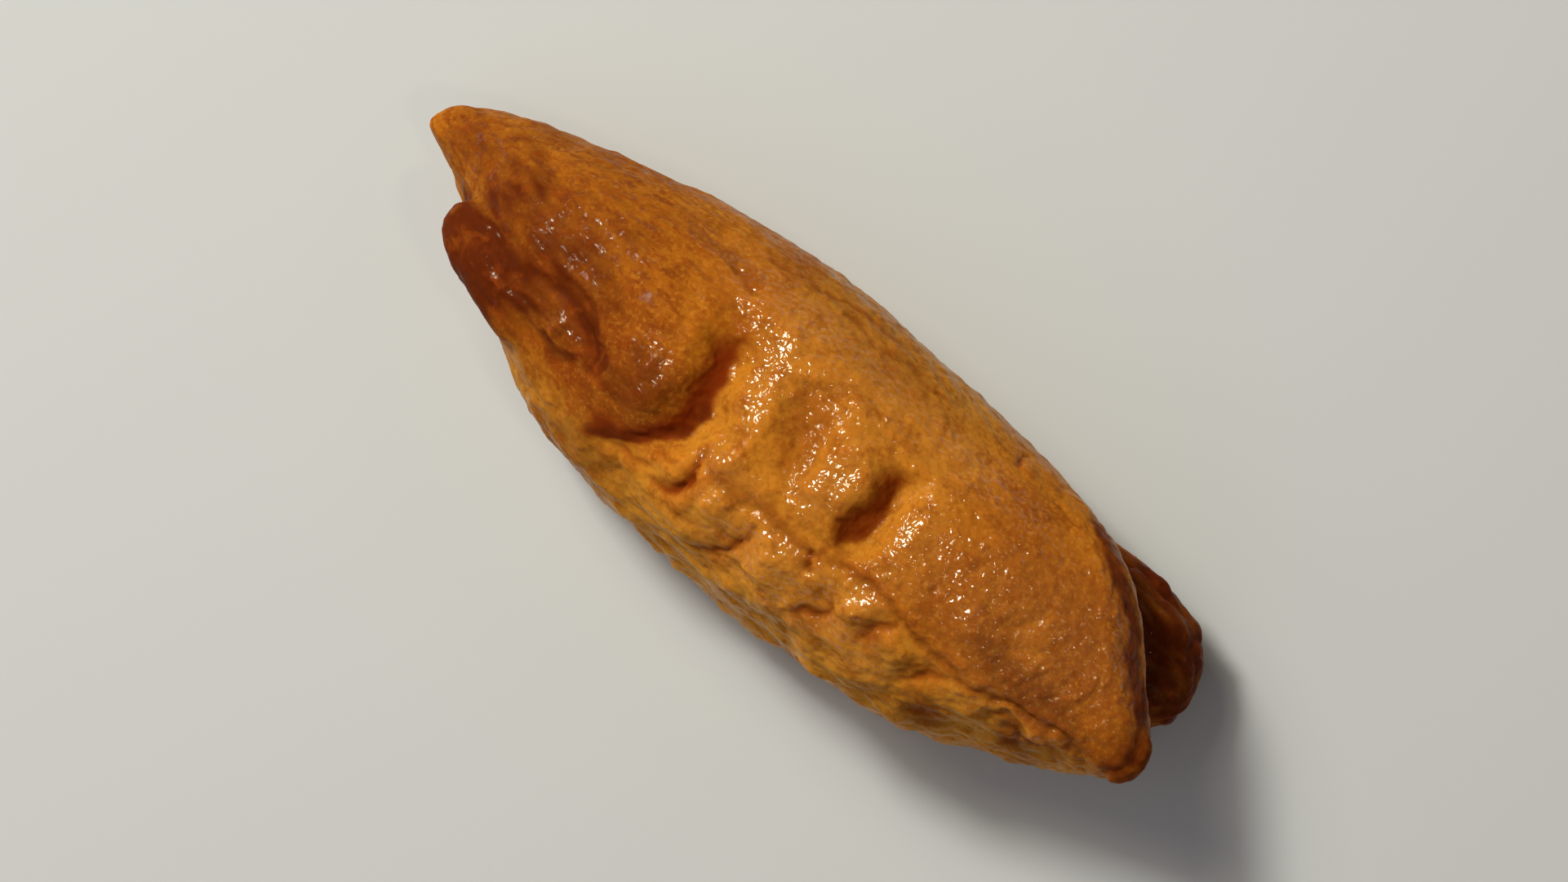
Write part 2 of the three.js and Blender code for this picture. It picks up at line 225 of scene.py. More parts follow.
def fold_strokes(depth):
    """The deep folds across the top face, their banks, and the bulges between them. Each falls gently
    from the low end's side and ends at a short steep bank, with broth stain and painted shade on the long
    slope, which faces away from the light."""
    return [
        stroke(BIG_FOLD, (1.9, 3.6), 0.4 * depth, (0.3, 0.5), sharp=False),
        stroke(BIG_FOLD, (4.4, 4.4), 0.6 * depth, (0.25, 0.5), sharp=False),
        # Stain only: broth stain and painted shade down the big fold's shaded slope
        stroke(moved(BIG_FOLD, -0.7, 0), (1.2, 2.6), 0, (0.3, 0.1), stain_and_shade=1.0),
        stroke(SMALL_FOLD, (1.9, 2.6), 0.35 * depth, (0.4, 0.4), sharp=False),
        stroke(SMALL_FOLD, (3.4, 3.0), 0.3 * depth, (0.3, 0.35), sharp=False),
        # Stain only: broth stain and painted shade down the small fold's shaded slope
        stroke(moved(SMALL_FOLD, -0.7, 0), (1.1, 3.0), 0, (0.35, 0.25), stain_and_shade=0.8),
        stroke([(-0.6, 7), (0.8, 2.8), (2.8, -3.2)], (3, 3), 1, 0.5, stain_and_shade=0.35, sharp=False),
        stroke([(6, 6), (6.9, 1), (7.6, -3.6)], (2.4, 4.2), -1.1, 0.5),
        stroke([(-14, 8.9), (-12, 8.6), (-9.8, 8)], (0.8, 0.8), 0.3, 0.4, stain_and_shade=0.4),
    ] + [
        stroke(path, (0.9, 0.9), 0.22, 0.5, stain_and_shade=0.3) for path in (
            [(-15.6, -2.6), (-14.6, -4.8)], [(-14.2, -1.4), (-13, -4)], [(-12.6, -0.8), (-11.4, -3.8)],
        )
    ]


def edge_strokes():
    """The closed long edge: a lip along the top face, a groove below it and a second thin lip, with broth
    stain and painted shade in the grooves.
    """
    crisp, soft = LONG_EDGE[:CRISP_POINTS], LONG_EDGE[CRISP_POINTS - 1:]
    return [
        stroke(crisp, (1.1, 0.8), -0.3, 0.15),
        stroke(moved(crisp, 0, -0.9), (1.4, 2.2), 0.4, 0.2, stain_and_shade=0.45),
        stroke(moved(soft, 0, -0.9), (1.2, 2.0), 0.4, 0.25, stain_and_shade=0.35),
        stroke(LOWER_LIP, (0.6, 0.7), -0.35, 0.4),
        stroke(moved(LOWER_LIP, 0, -0.9), (0.7, 1.2), 0.4, 0.4, stain_and_shade=0.4),
    ]


def crease_strokes(depth):
    """Creases between the puckers that hang from the closed edge, with broth stain and painted shade in and
    beside them, and the puckers' crowns.
    """
    creases = [
        ([(-4, -5), (-3, -7.2), (-3.3, -9.2), (-6.6, -11)], 1.0, (1.0, 1.8)),
        ([(2.8, -6), (3.2, -9.2), (2.4, -11), (0.6, -12.2)], 0.6, (0.9, 1.6)),
        ([(8.4, -4.4), (9.3, -5.4), (10, -6.8)], 0.7, (0.9, 1.4)),
        ([(12.4, -6), (13, -8), (11.6, -9.6), (12.2, -10.8)], 0.6, (1.0, 2.2)),
        ([(18.8, -4.2), (17.4, -6), (16.4, -7.8)], 0.55, (1.0, 2.0)),
        ([(24.4, -4.6), (22.9, -6.4), (21.3, -8.4)], 0.5, (1.0, 1.8)),
        ([(32.2, -4.2), (33, -5), (31.4, -6.6)], 0.4, (1.0, 1.6)),
        ([(26.4, -7.2), (25, -8.4), (23.4, -9.4)], 0.4, (1.0, 1.6)),
        ([(-7.6, -8.2), (-5.8, -8.2), (-4.4, -7.2)], 0.3, (0.9, 1.1)),
        ([(-10.8, -10.6), (-8.2, -10.4), (-6.2, -9.8)], 0.3, (0.9, 1.2)),
    ]
    crowns = [
        ([(-5.4, -5.8), (-5.2, -9)], 2.0, 0.5),
        ([(-0.6, -6.4), (-0.4, -9.4)], 2.8, 0.45),
        ([(6.4, -6.4), (6.8, -10)], 3.0, 0.45),
        ([(14.4, -4.4), (14.6, -7.4)], 2.2, 0.6),
        ([(19.8, -5.6), (19.6, -7.4)], 2.0, 0.5),
        ([(28.3, -5), (27.8, -6.6)], 2.0, 0.4),
    ]
    return [
        stroke(path, wide, share * depth, 0.4, stain_and_shade=0.7 * share + 0.3) for path, share, wide in creases
    ] + [
        # Painted shade, warm and weak, on the slopes beside each crease
        stroke(path, (2.4, 3), 0, 0.5, stain_and_shade=0.15 * share + 0.1) for path, share, wide in creases
    ] + [
        stroke(path, (wide, wide), -share * depth, 0.6) for path, wide, share in crowns
    ]


def ear_strokes():
    """The skin gathered round the rolled ear of the low end: a hooked hollow round a small lump, with broth
    stain along the hook and painted shade in the hollow.
    """
    return [
        stroke(HOOK, (2.8, 2.4), 0.5, 0.6, stain_and_shade=0.8),
        # Broth stain and painted shade in the hollow behind the lump
        stroke([(-24, -4.2), (-20, -4.5), (-17, -5.4), (-17.4, -7)], (2.8, 2.6), 1.0, 0.6, stain_and_shade=1.0),
        stroke([(-21.4, -5.9), (-20.2, -6.2)], (1.3, 1.3), -0.35, 0.5),
        stroke(EAR_FOOT, (1.6, 2.2), 0.45, 0.4, stain_and_shade=0.3),
        stroke([(-33.2, -4.4), (-28, -4.8), (-22.4, -5.2)], (0.7, 0.7), 0.3, 0.35, stain_and_shade=0.4),
        stroke([(-32.6, -5.8), (-27, -6.0), (-22, -6.8)], (0.7, 0.7), 0.3, 0.35, stain_and_shade=0.4),
        stroke([(-31, -7.0), (-27, -7.0), (-23, -7.4)], (0.6, 0.6), 0.25, 0.35, stain_and_shade=0.3),
        stroke([(-12.8, -3), (-12.2, -5), (-12.8, -7.4)], (2, 2.4), 0.35, 0.5, stain_and_shade=0.2),
    ]


def rim_strokes():
    """The diagonal rim of the top face at the blunt end, the rolled tip, and the back's creases, with broth
    stain and painted shade along the rim and in the creases.
    """
    return [
        stroke(moved(RIM, -1.2, -1.4), (0.8, 1.6), -0.2, 0.25, above=14),
        # Broth stain and painted shade on the rim's shaded outer slope
        stroke(moved(RIM, -0.2, -0.3), (1.8, 1.3), 0.1, 0.2, stain_and_shade=0.5, above=13),
        stroke([(40.2, 3.6), (40.4, 1), (40.0, -1.8)], (0.8, 1.4), 0.25, 0.3, stain_and_shade=0.4, above=14),
        stroke([(24, 17), (31, 15.6), (40, 14.6)], (2.6, 2.6), 0.9, 0.35, "back", stain_and_shade=0.7),
        stroke([(22, 12.4), (30, 9.8), (38, 8.8)], (1.6, 1.6), 0.8, 0.4, "back", stain_and_shade=0.5),
        stroke([(24, 7.4), (32, 5.8), (39, 5.4)], (1.6, 1.6), 0.6, 0.4, "back", stain_and_shade=0.4),
        stroke([(-13, 10.8), (-5, 12.8), (3, 13.9)], (0.6, 0.6), 0.14, 0.3, stain_and_shade=0.35),
        stroke([(-4, 11.4), (3, 12.6), (10, 13)], (0.6, 0.6), 0.12, 0.3, stain_and_shade=0.3),
        stroke([(16.2, 13.9), (16.9, 13.3)], (0.9, 0.9), 0.4, 0.5, stain_and_shade=0.8),
    ]


def toast_and_shade_strokes():
    """Darkest marks: painted shade with some broth stain in a band along the blunt end's rim, in the folds'
    depths and in the ear's hollow; darker skin at the rolled tip; and streaks of browning along the low end.
    """
    low_end = [
        ([(-37, 1.6), (-31, 1.2), (-25, 2.4)], 0.7), ([(-34, -0.6), (-28, -0.4), (-20, 0.2)], 0.8),
        ([(-30, 3.6), (-24, 4.4), (-18, 4.4)], 0.5), ([(-33, -2.6), (-27, -2.4), (-20, -2.2)], 0.8),
        ([(-27, -2.6), (-21, -2.9), (-16, -4.2)], 0.9), ([(-24, 7.6), (-17, 8.8), (-10, 9.2)], 0.35),
        # Painted shade with browning in the ear's hollow
        ([(-19.4, -4.2), (-16.6, -5), (-16, -6.4), (-17.6, -7.6)], 1.0),
        ([(-28, -3.4), (-23, -3.7), (-19.4, -4.4), (-17, -5.6)], 1.0),
        ([(-16.8, -6.6), (-19, -7.5), (-23, -7.2)], 0.9),
    ]
    return [
        # Painted shade, with some broth stain, in a band along the rim's shaded outer slope
        stroke(moved(RIM, -0.1, -0.2), (1.5, 0.9), 0, 0.15, stain_and_shade=0.85, above=13),
        stroke([(41.2, 3.4), (41.4, 1), (41, -1.6)], (1, 1.2), 0, 0.3, stain_and_shade=0.5, above=14),
        # Painted shade, with some broth stain, deepening the folds' shaded slopes
        stroke(moved(BIG_FOLD[2:], -0.4, 0), (0.8, 1.6), 0, (0.4, 0.12), stain_and_shade=0.6),
        stroke(moved(SMALL_FOLD, -0.4, 0), (0.7, 1.2), 0, 0.5, stain_and_shade=0.12),
    ] + [stroke(path, (1.3, 1.3), 0, 0.4, stain_and_shade=share) for path, share in low_end]


# Columns of each view's plan, and the column that it looks down
VIEWS = {"top": (0, 1, 2), "back": (0, 2, 1)}
LINE_POINTS = 24  # points that each smoothed line is drawn with


def smooth_line(path):
    """Catmull-Rom curve through a path's points."""
    p = np.array(path, float)
    p = np.vstack([p[0], p, p[-1]])
    spot = np.linspace(0, len(path) - 1, LINE_POINTS)
    i = np.minimum(spot.astype(int), len(path) - 2)
    t = (spot - i)[:, None]
    a, b, c, d = (p[i + k] for k in range(4))
    square, cube = 2 * a - 5 * b + 4 * c - d, 3 * b - a - 3 * c + d
    return 0.5 * (2 * b + (c - a) * t + square * t ** 2 + cube * t ** 3)


def along_line(spots, line):
    """Distance of spots from a line, positive on its left, and the share of the way along it."""
    best = np.full(len(spots), np.inf)
    side = np.ones(len(spots))
    share = np.zeros(len(spots))
    span = len(line) - 1
    for i in range(span):
        step = line[i + 1] - line[i]
        offset = spots - line[i]
        t = np.clip(offset @ step / (step @ step), 0, 1)
        miss = offset - t[:, None] * step
        distance = np.hypot(*miss.T)
        nearer = distance < best
        best[nearer] = distance[nearer]
        side[nearer] = np.sign(step[0] * offset[nearer, 1] - step[1] * offset[nearer, 0])
        share[nearer] = (i + t[nearer]) / span
    return best * side, share


def stroked(points, normals, strokes):
    """Sum of the strokes' depths at each point, and the broth stain and painted shade that they lay there,
    from 0 to 1.
    """
    depths = np.zeros(len(points))
    stains_and_shade = np.zeros(len(points))
    for s in strokes:
        across, over, along = VIEWS[s["view"]]
        line = smooth_line(s["path"])
        spots = points[:, (across, over)]
        reach = max(s["wide"])
        near = np.all((spots > line.min(0) - reach) & (spots < line.max(0) + reach), axis=1)
        distance, share = along_line(spots[near], line)
        wide = np.where(distance > 0, *s["wide"])
        away = np.clip(np.abs(distance) / wide, 0, 1)
        profile = (1 - away) ** 2 if s["sharp"] else (1 - away ** 2) ** 2
        run = np.minimum(share / s["fade"][0], (1 - share) / s["fade"][1])
        profile *= np.sin(np.clip(run, 0, 1) * np.pi / 2)
        profile *= smoothstep(normals[near, along], -0.15, 0.25)
        profile *= smoothstep(points[near, 2], s["above"] - 1, s["above"] + 1)
        depths[near] += s["deep"] * profile
        stains_and_shade[near] = np.maximum(stains_and_shade[near], s["stain_and_shade"] * smoothstep(profile, 0.03, 0.8))
    return depths, stains_and_shade


# ---------------------------------------------------------------- unevenness of the skin

RIPPLE_WAVES = 9


def ripple(points, wave, seed):
    """Slow unevenness over the rice: waves that run in spread directions, about -1 to 1."""
    total = np.zeros(len(points))
    for i in range(RIPPLE_WAVES):
        k = i + 7.31 * seed
        run = np.array([np.sin(2.4 * k), np.cos(3.7 * k + 1), np.sin(5.1 * k + 2)])
        length = wave * (0.7 + 0.6 * ((0.618 * k) % 1))
        total += np.sin(points @ run / np.linalg.norm(run) * 2 * np.pi / length + 4.1 * k)
    return total / np.sqrt(RIPPLE_WAVES)


LATTICE = 64  # cells after which the noise repeats
NOISE_SEED = 5
NOISE_GAIN = 1.6  # brings the noise to about -1 to 1


def lattice_directions(seed):
    """Seeded unit vectors on a repeating lattice, for smooth noise."""
    directions = np.random.default_rng(seed).normal(size=(LATTICE, LATTICE, LATTICE, 3))
    return directions / np.linalg.norm(directions, axis=-1, keepdims=True)


DIRECTIONS = lattice_directions(NOISE_SEED)


def noise(points):
    """Gradient noise with features about one unit wide, about -1 to 1."""
    cell = np.floor(points).astype(int)
    inside = points - cell
    ease = inside ** 3 * (inside * (inside * 6 - 15) + 10)
    total = np.zeros(len(points))
    for corner in np.ndindex(2, 2, 2):
        node = (cell + corner) % LATTICE
        slope = DIRECTIONS[node[:, 0], node[:, 1], node[:, 2]]
        height = np.einsum("ij,ij->i", slope, inside - corner)
        weight = np.prod(np.where(corner, ease, 1 - ease), axis=1)
        total += weight * height
    return total * NOISE_GAIN


def billows(points, size, stretch=(1, 1, 1), shift=0.0):
    """Rounded lumps of a size in mm that meet in sharp valleys, -1 in a valley to 1 on a crown."""
    return 4 * np.abs(noise(points / (size * np.array(stretch)) + shift)) - 1


# ---------------------------------------------------------------- where the skin differs

# Where the top face gives way to the puckered front, in plan
FRONT_LINE = [(-42, -4), (-34, -8), (-22, -8.6), (-12, -9.8), (-7, -8), (-5, -5.2)] + LONG_EDGE[::-1]

# Spots of darker skin, in plan: centre, reach along and across, share. Most are soaked darkest by the broth.
TOASTED = [
    ((-28, -5.4), (11, 3.8), 1.0),
    ((-29, 0.4), (13, 5.4), 0.75),
    ((-24, -1.4), (11, 4.2), 0.75),
    ((-27, 3), (20, 11), 0.36),
    ((-19, -5.6), (5, 3.4), 0.6),
    ((-40, 0.4), (9, 6), 0.6),
    ((-33, 3), (4.5, 3.5), 0.6),
    ((-13, -4.6), (5.6, 4.6), 0.65),
    # These two darken the front's lower edge
    ((-16, -9.4), (9, 3.6), 0.36),
    ((-13, -12.6), (8, 2.4), 0.4),
    ((30, -1), (11, 2.2), 0.4),
    ((-2, 12), (18, 4), 0.24),
    ((41.5, 1), (4, 4.5), 0.9),
    ((32.8, -5), (4, 1.8), 0.45),
    ((25.2, -8.4), (3.6, 1.8), 0.4),
    ((12.4, -9.6), (2, 1.4), 0.3),
]

# Spots with the most syrup on them, likewise
GLAZED = [
    ((-5.2, 4.6), (3.6, 5.4), 1.0),
    ((-4, -0.6), (2.8, 4.6), 0.75),
    ((-1, -5), (6, 2.2), 0.9),
    ((5.3, 0.6), (3.9, 6.2), 1.0),
    ((15.6, 1.4), (5.6, 7.6), 0.8),
    ((14.5, -4), (3.6, 2.8), 1.0),
    ((-25.5, 3.4), (12, 7), 0.3),
    ((-12.6, -2.6), (3, 3), 0.6),
    ((-6, 9), (24, 5), 0.6),
    ((14, 9.5), (14, 4), 0.6),
    ((-26, 6), (10, 3.5), 0.5),
    ((27, 3), (15.5, 11), 0.9),
    ((0, 6), (12, 6), 0.4),
    ((9, -8), (16, 5), 0.7),
    ((-27, -7), (7, 2.2), 0.35),
    ((-32, -3), (4, 2), 0.5),
    ((-36, 0.8), (5.5, 3.4), 0.7),
    ((-20.6, -5.8), (2, 1.5), 1.0),
    ((33, -3), (5, 2), 0.8),
]


TOAST_CORE, GLAZE_CORE = 0.35, 0.3  # shares of a spot's reach that stay full
# The corner's share is no browning: it paints a shadow over the lower corner at the blunt end.
EAR_TOAST, CORNER_PAINTED_SHADOW = 1.4, 0.95


def spotted(points, spots, core):
    """The largest share of any spot at each point; core is the share of its reach that stays full."""
    shares = np.zeros(len(points))
    for (x, y), (along, across), share in spots:
        reach = np.hypot((points[:, 0] - x) / along, (points[:, 1] - y) / across)
        shares = np.maximum(shares, share * smoothstep(-reach, -1, -core))
    return shares


def regions(points):
    """Masks over the skin, by name, from 0 to 1 or a little more. Their edges are in mm. The top face's
    zones are drawn in plan, so upper and under keep them off the skin that lies on the board."""
    x, y, z = points.T
    front_x, front_y = zip(*FRONT_LINE)
    front = smoothstep(np.interp(x, front_x, front_y) - y, -0.3, 2.2)
    ear = smoothstep(-x, 20, 30) * smoothstep(-y, 1.5, 4.5) * smoothstep(z, 8, 11)
    corner = smoothstep(x, 24, 32) * smoothstep(y, 3, 6) * smoothstep(-z, -17, -13)
    upper = smoothstep(z, 7, 11)
    under = smoothstep(-z, -6, -1.5)
    darkened = spotted(points, TOASTED, TOAST_CORE) * upper
    return {
        "front": front * (1 - ear),
        "ear": ear,
        "corner": corner,
        # Over the lower corner this is a painted shadow.
        "toast": np.maximum.reduce([darkened, EAR_TOAST * ear, CORNER_PAINTED_SHADOW * corner]),
        "glaze": spotted(points, GLAZED, GLAZE_CORE) * upper,
        "back": smoothstep(y, 6, 11) * (1 - corner),
        "under": under,
        "low_end": smoothstep(-x, 8.5, 14 + 0.8 * np.maximum(y, 0)) * (1 - front) * (1 - under),
        "middle": smoothstep(x, -9, -6) * smoothstep(-x, -18, -11) * (1 - front),
        "high_end": smoothstep(x, 11, 15) * (1 - front),
    }


def wavered(points, size, most):
    """The points moved about by up to a distance, so that lines drawn through them waver."""
    return points + most * np.stack([noise(points / size + 11 * k) for k in (1, 2, 3)], axis=1)


def wrinkle_heights(points, where):
    """Fine relief of the simmered skin in mm, from folds of 3 mm down to crinkles under 1 mm."""
    bent = wavered(points, 5, 0.9)
    calm = (1 - 0.4 * where["back"]) * (1 - 0.2 * where["high_end"]) * (1 - 0.4 * where["low_end"])
    heights = 0.1 * calm * billows(bent, 3.2, shift=4)
    heights += 0.07 * where["front"] * billows(bent, 2.2, (1.3, 0.8, 0.8), 9)
    heights += 0.1 * where["low_end"] * noise(bent / (7, 0.9, 1.3) + 21)
    heights += 0.08 * where["ear"] * noise(bent / (7, 0.6, 0.8) + 31)
    heights += 0.045 * (1 - 0.5 * where["low_end"]) * billows(bent, 1.3, shift=41)
    heights += 0.03 * (1 - 0.5 * where["low_end"]) * noise(points / 0.8 + 51)
    heights += 0.16 * where["corner"] * billows(bent, 3.2, (1.8, 0.7, 0.7), 61)
    return heights


# ---------------------------------------------------------------- meshes

def mesh_from(name, points, faces):
    mesh = bpy.data.meshes.new(name)
    mesh.from_pydata([tuple(p) for p in points], [], faces)
    mesh.update()
    return mesh


def add_object(name, mesh):
    thing = bpy.data.objects.new(name, mesh)
    bpy.context.scene.collection.objects.link(thing)
    return thing


def joined(grids):
    """One list of points and faces from several closed grids."""
    points, faces, first = [], [], 0
    for grid_points, grid_faces in grids:
        points.append(grid_points)
        faces += [tuple(first + i for i in face) for face in grid_faces]
        first += len(grid_points)
    return np.vstack(points), faces


def remeshed(name, points, faces, step, rounds):
    """One even skin over overlapping closed grids, with its corners smoothed."""
    rough = add_object(name + "_rough", mesh_from(name, points, faces))
    skin = rough.modifiers.new("one_skin", "REMESH")
    skin.mode = "VOXEL"
    skin.voxel_size = step
    soften = rough.modifiers.new("soften", "SMOOTH")
    soften.factor = 0.5
    soften.iterations = rounds
    evaluated = rough.evaluated_get(bpy.context.evaluated_depsgraph_get())
    mesh = bpy.data.meshes.new_from_object(evaluated)
    bpy.data.objects.remove(rough)
    return mesh


def read_vectors(mesh, name):
    values = np.empty(3 * len(mesh.vertices))
    mesh.vertices.foreach_get(name, values)
    return values.reshape(-1, 3)


def write_points(mesh, points):
    mesh.vertices.foreach_set("co", points.ravel())
    mesh.update()


def write_mask(mesh, name, values):
    """Stores one number a vertex for the material to read."""
    layer = mesh.attributes.new(name, "FLOAT", "POINT")
    layer.data.foreach_set("value", np.clip(values, 0, 1).astype(np.float32))


def laid_in_box(points):
    """The points in metres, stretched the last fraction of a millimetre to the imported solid's box."""
    low, high = points.min(0), points.max(0)
    return POUCH_LOW + (points - low) / (high - low) * (POUCH_HIGH - POUCH_LOW)


# ---------------------------------------------------------------- materials

def add_node(tree, kind, settings=None, inputs=None, give=0):
    """Adds a node and gives one of its outputs. settings are its properties; inputs are values for
    its sockets, or the sockets that feed them."""
    node = tree.nodes.new(kind)
    for name, value in (settings or {}).items():
        setattr(node, name, value)
    for name, value in (inputs or {}).items():
        if isinstance(value, bpy.types.NodeSocket):
            tree.links.new(value, node.inputs[name])
        else:
            node.inputs[name].default_value = value
    return node.outputs[give] if node.outputs else node


def new_material(name):
    material = bpy.data.materials.new(name)
    material.use_nodes = True
    material.node_tree.nodes.clear()
    return material, material.node_tree


def per_mm(size):
    """Texture scale, per metre, for features of a size in mm."""
    return 1 / (size * MM)


LAYER = {"data_type": "RGBA", "clamp_factor": True}
FACTOR, UNDER, OVER, LAYERED = 0, 6, 7, 2  # a colour layer's sockets: three inputs and its output
MASKS = ("toast", "broth", "pale", "drawn", "glaze")  # masks that the skin's vertices hold
WETTING = 0.2  # how much browner the skin looks under a full film


def simmered_tofu(colours):
    """Abura-age: tofu deep-fried to a bubbly golden skin, then simmered in soy and sugar. The frying
    leaves a mottled, pitted brown; the broth soaks the thin edges darker and redder, and dries to a
    sticky film that glints in specks wherever the skin crinkles. Its colour also holds painted shade
    in the folds, creases, grooves and hollows and along the blunt end's rim, and a painted shadow
    over the lower corner."""
    material, tree = new_material("simmered_fried_tofu_skin")
    node = partial(add_node, tree)
    tint = {name: (*getattr(colours, name), 1) for name in INARI_colours.__annotations__}
    mask = {name: node("ShaderNodeAttribute", {"attribute_name": name}, give="Fac") for name in MASKS}
    place = node("ShaderNodeTexCoord", give="Object")
    lengthwise = node("ShaderNodeMapping", None, {"Vector": place, "Scale": (0.2, 1, 1)})
    drawn_out = node("ShaderNodeMapping", None, {"Vector": place, "Scale": (0.14, 1, 1)})

    # Size in mm, detail, roughness and the space of each pattern
    grain = {}
    for name, (size, detail, rough, space) in {
        "patches": (9, 3, 0.5, place),
        "mottle": (2.0, 4, 0.65, place),
        "specks": (0.42, 3, 0.6, place),
        "fibres": (0.75, 4, 0.65, lengthwise),
        "film": (0.5, 0, 0.5, place),
        "dashes": (0.34, 0, 0.5, drawn_out),
    }.items():
        grain[name] = node(
            "ShaderNodeTexNoise", None,
            {"Vector": space, "Scale": per_mm(size), "Detail": detail, "Roughness": rough, "Distortion": 0.3},
        )
    pits, blisters = (
        node(
            "ShaderNodeTexVoronoi", {"feature": "SMOOTH_F1"},
            {"Vector": place, "Scale": per_mm(size), "Smoothness": 0.35, "Randomness": 1},
        )
        for size in (0.75, 1.9)
    )

    # Where each pattern starts and ends, and how strong it gets
    shade = {}
    for name, (source, start, end, most) in {
        "browner": (grain["patches"], 0.38, 0.62, 1.0),
        "mottled": (grain["mottle"], 0.46, 0.7, 0.6),
        "speckled": (grain["specks"], 0.5, 0.72, 0.6),
        "golden": (grain["specks"], 0.52, 0.3, 0.6),
        "streaked": (grain["fibres"], 0.44, 0.64, 0.8),
        "paler": (grain["patches"], 0.15, 0.45, 1.0),
        "darkest": (grain["mottle"], 0.5, 0.75, 1.0),
        "wet": (grain["mottle"], 0.68, 0.58, 1.0),
        "threads": (grain["fibres"], 0.52, 0.58, 1.0),
        "domes": (blisters, 0.34, 0.0, 1.0),
        "dull": (grain["mottle"], 0.1, 0.7, 0.7),
        "loose": (mask["drawn"], 1.5, 0.0, 1.0),
    }.items():
        shade[name] = node(
            "ShaderNodeMapRange", {"interpolation_type": "SMOOTHSTEP"},
            {"Value": source, "From Min": start, "From Max": end, "To Max": most}, "Result",
        )
    wet = node("ShaderNodeMix", None, {0: mask["drawn"], 2: shade["wet"], 3: shade["threads"]})
    both = {
        name: node("ShaderNodeMath", {"operation": "MULTIPLY"}, {0: mask[region], 1: pattern})
        for name, region, pattern in (
            ("streaks", "drawn", shade["streaked"]),
            ("pale", "pale", shade["paler"]),
            ("film", "glaze", wet),
            ("wetted", "glaze", WETTING),
        )
    }

    # The skin's colour, from the open skin up to the darkest soaked edges, with painted shade in the folds,
    # creases and hollows and along the rim, and a painted shadow over the lower corner
    darkened = node(
        "ShaderNodeMix", LAYER,
        {FACTOR: shade["darkest"], UNDER: tint["russet"], OVER: tint["umber"]}, LAYERED,
    )
    skin = tint["amber"]
    for factor, over in (
        (shade["browner"], tint["brown"]),
        (both["pale"], tint["gold"]),
        (shade["mottled"], tint["umber"]),
        (both["streaks"], tint["umber"]),
        (shade["golden"], tint["gold"]),
        (both["wetted"], tint["brown"]),
        (shade["speckled"], tint["brown"]),
        # Broth stain with painted shade in the folds, creases, grooves and hollows; then the darkest skin:
        # browning, painted shade on the rim and in the folds, and a painted shadow over the lower corner
        (mask["broth"], tint["broth"]),
        (mask["toast"], darkened),
    ):
        skin = node("ShaderNodeMix", LAYER, {FACTOR: factor, UNDER: skin, OVER: over}, LAYERED)

    # The skin's own pores, then the film that has dried over them: it lies in little cells, drawn out
    # lengthwise where the skin is pulled towards the low end
    cells = node("ShaderNodeMix", None, {0: mask["drawn"], 2: grain["film"], 3: grain["dashes"]})
    normals = [node("ShaderNodeNewGeometry", give="Normal")]
    for height, depth, strength in (
        (pits, 0.08, 1.0), (grain["fibres"], 0.05, mask["drawn"]), (grain["specks"], 0.03, 1.0),
        (shade["domes"], 0.12, shade["loose"]), (cells, 0.22, shade["loose"]),
    ):
        layer = {"Strength": strength, "Distance": depth * MM, "Height": height, "Normal": normals[-1]}
        normals.append(node("ShaderNodeBump", None, layer))
    skin_normal, film_normal = normals[-2:]

    shader = node(
        "ShaderNodeBsdfPrincipled", {"subsurface_method": "RANDOM_WALK"},
        {
            "Base Color": skin,
            "Roughness": shade["dull"],
            "IOR": 1.4,
            "Specular IOR Level": 0.02,
            "Normal": skin_normal,
            "Subsurface Weight": 0.65,
            "Subsurface Radius": (1.0, 0.3, 0.1),
            "Subsurface Scale": 2 * MM,
            "Coat Weight": both["film"],
            "Coat Roughness": 0.07,
            "Coat IOR": 1.75,
            "Coat Normal": film_normal,
        },
    )
    node("ShaderNodeOutputMaterial", None, {"Surface": shader})
    return material


def matte_board(colour):
    """A painted matte board: no grain and no shine, so that only the pouch's shadow shows on it."""
    material, tree = new_material("matte_board")
    shader = add_node(
        tree, "ShaderNodeBsdfPrincipled", None,
        {"Base Color": (*colour, 1), "Roughness": 0.9, "Specular IOR Level": 0.2},
    )
    add_node(tree, "ShaderNodeOutputMaterial", None, {"Surface": shader})
    return material


# ---------------------------------------------------------------- settings a user may change

def length_setting(name, description, millimetres, least=0.0):
    return bpy.props.FloatProperty(
        name=name, description=description, default=millimetres * MM, min=least * MM,
        unit="LENGTH", subtype="DISTANCE", precision=5,
    )


def colour_setting(name, description, hex_code):
    return bpy.props.FloatVectorProperty(
        name=name, description=description, default=linear(hex_code), size=3, min=0, max=1, subtype="COLOR",
    )


def power_setting(name, description, watts):
    return bpy.props.FloatProperty(
        name=name, description=description, default=watts, min=0, unit="POWER",
    )


class INARI_sizes(bpy.types.PropertyGroup):
    """Sizes of the pouch's relief."""
    fold_depth: length_setting("Fold Depth", "Depth of the deepest fold across the top face", 3.2)
    crease_depth: length_setting("Crease Depth", "Depth of the creases between the front's puckers", 1.0)
    ear_radius: length_setting("Ear", "Radius of the rolled ear at the low end", 3.5, 1)
    corner_radius: length_setting("Corner", "Radius of the lower corner at the blunt end", 5.6, 1)
    skin_step: length_setting("Skin Step", "Spacing of the skin's vertices", 0.31, 0.2)


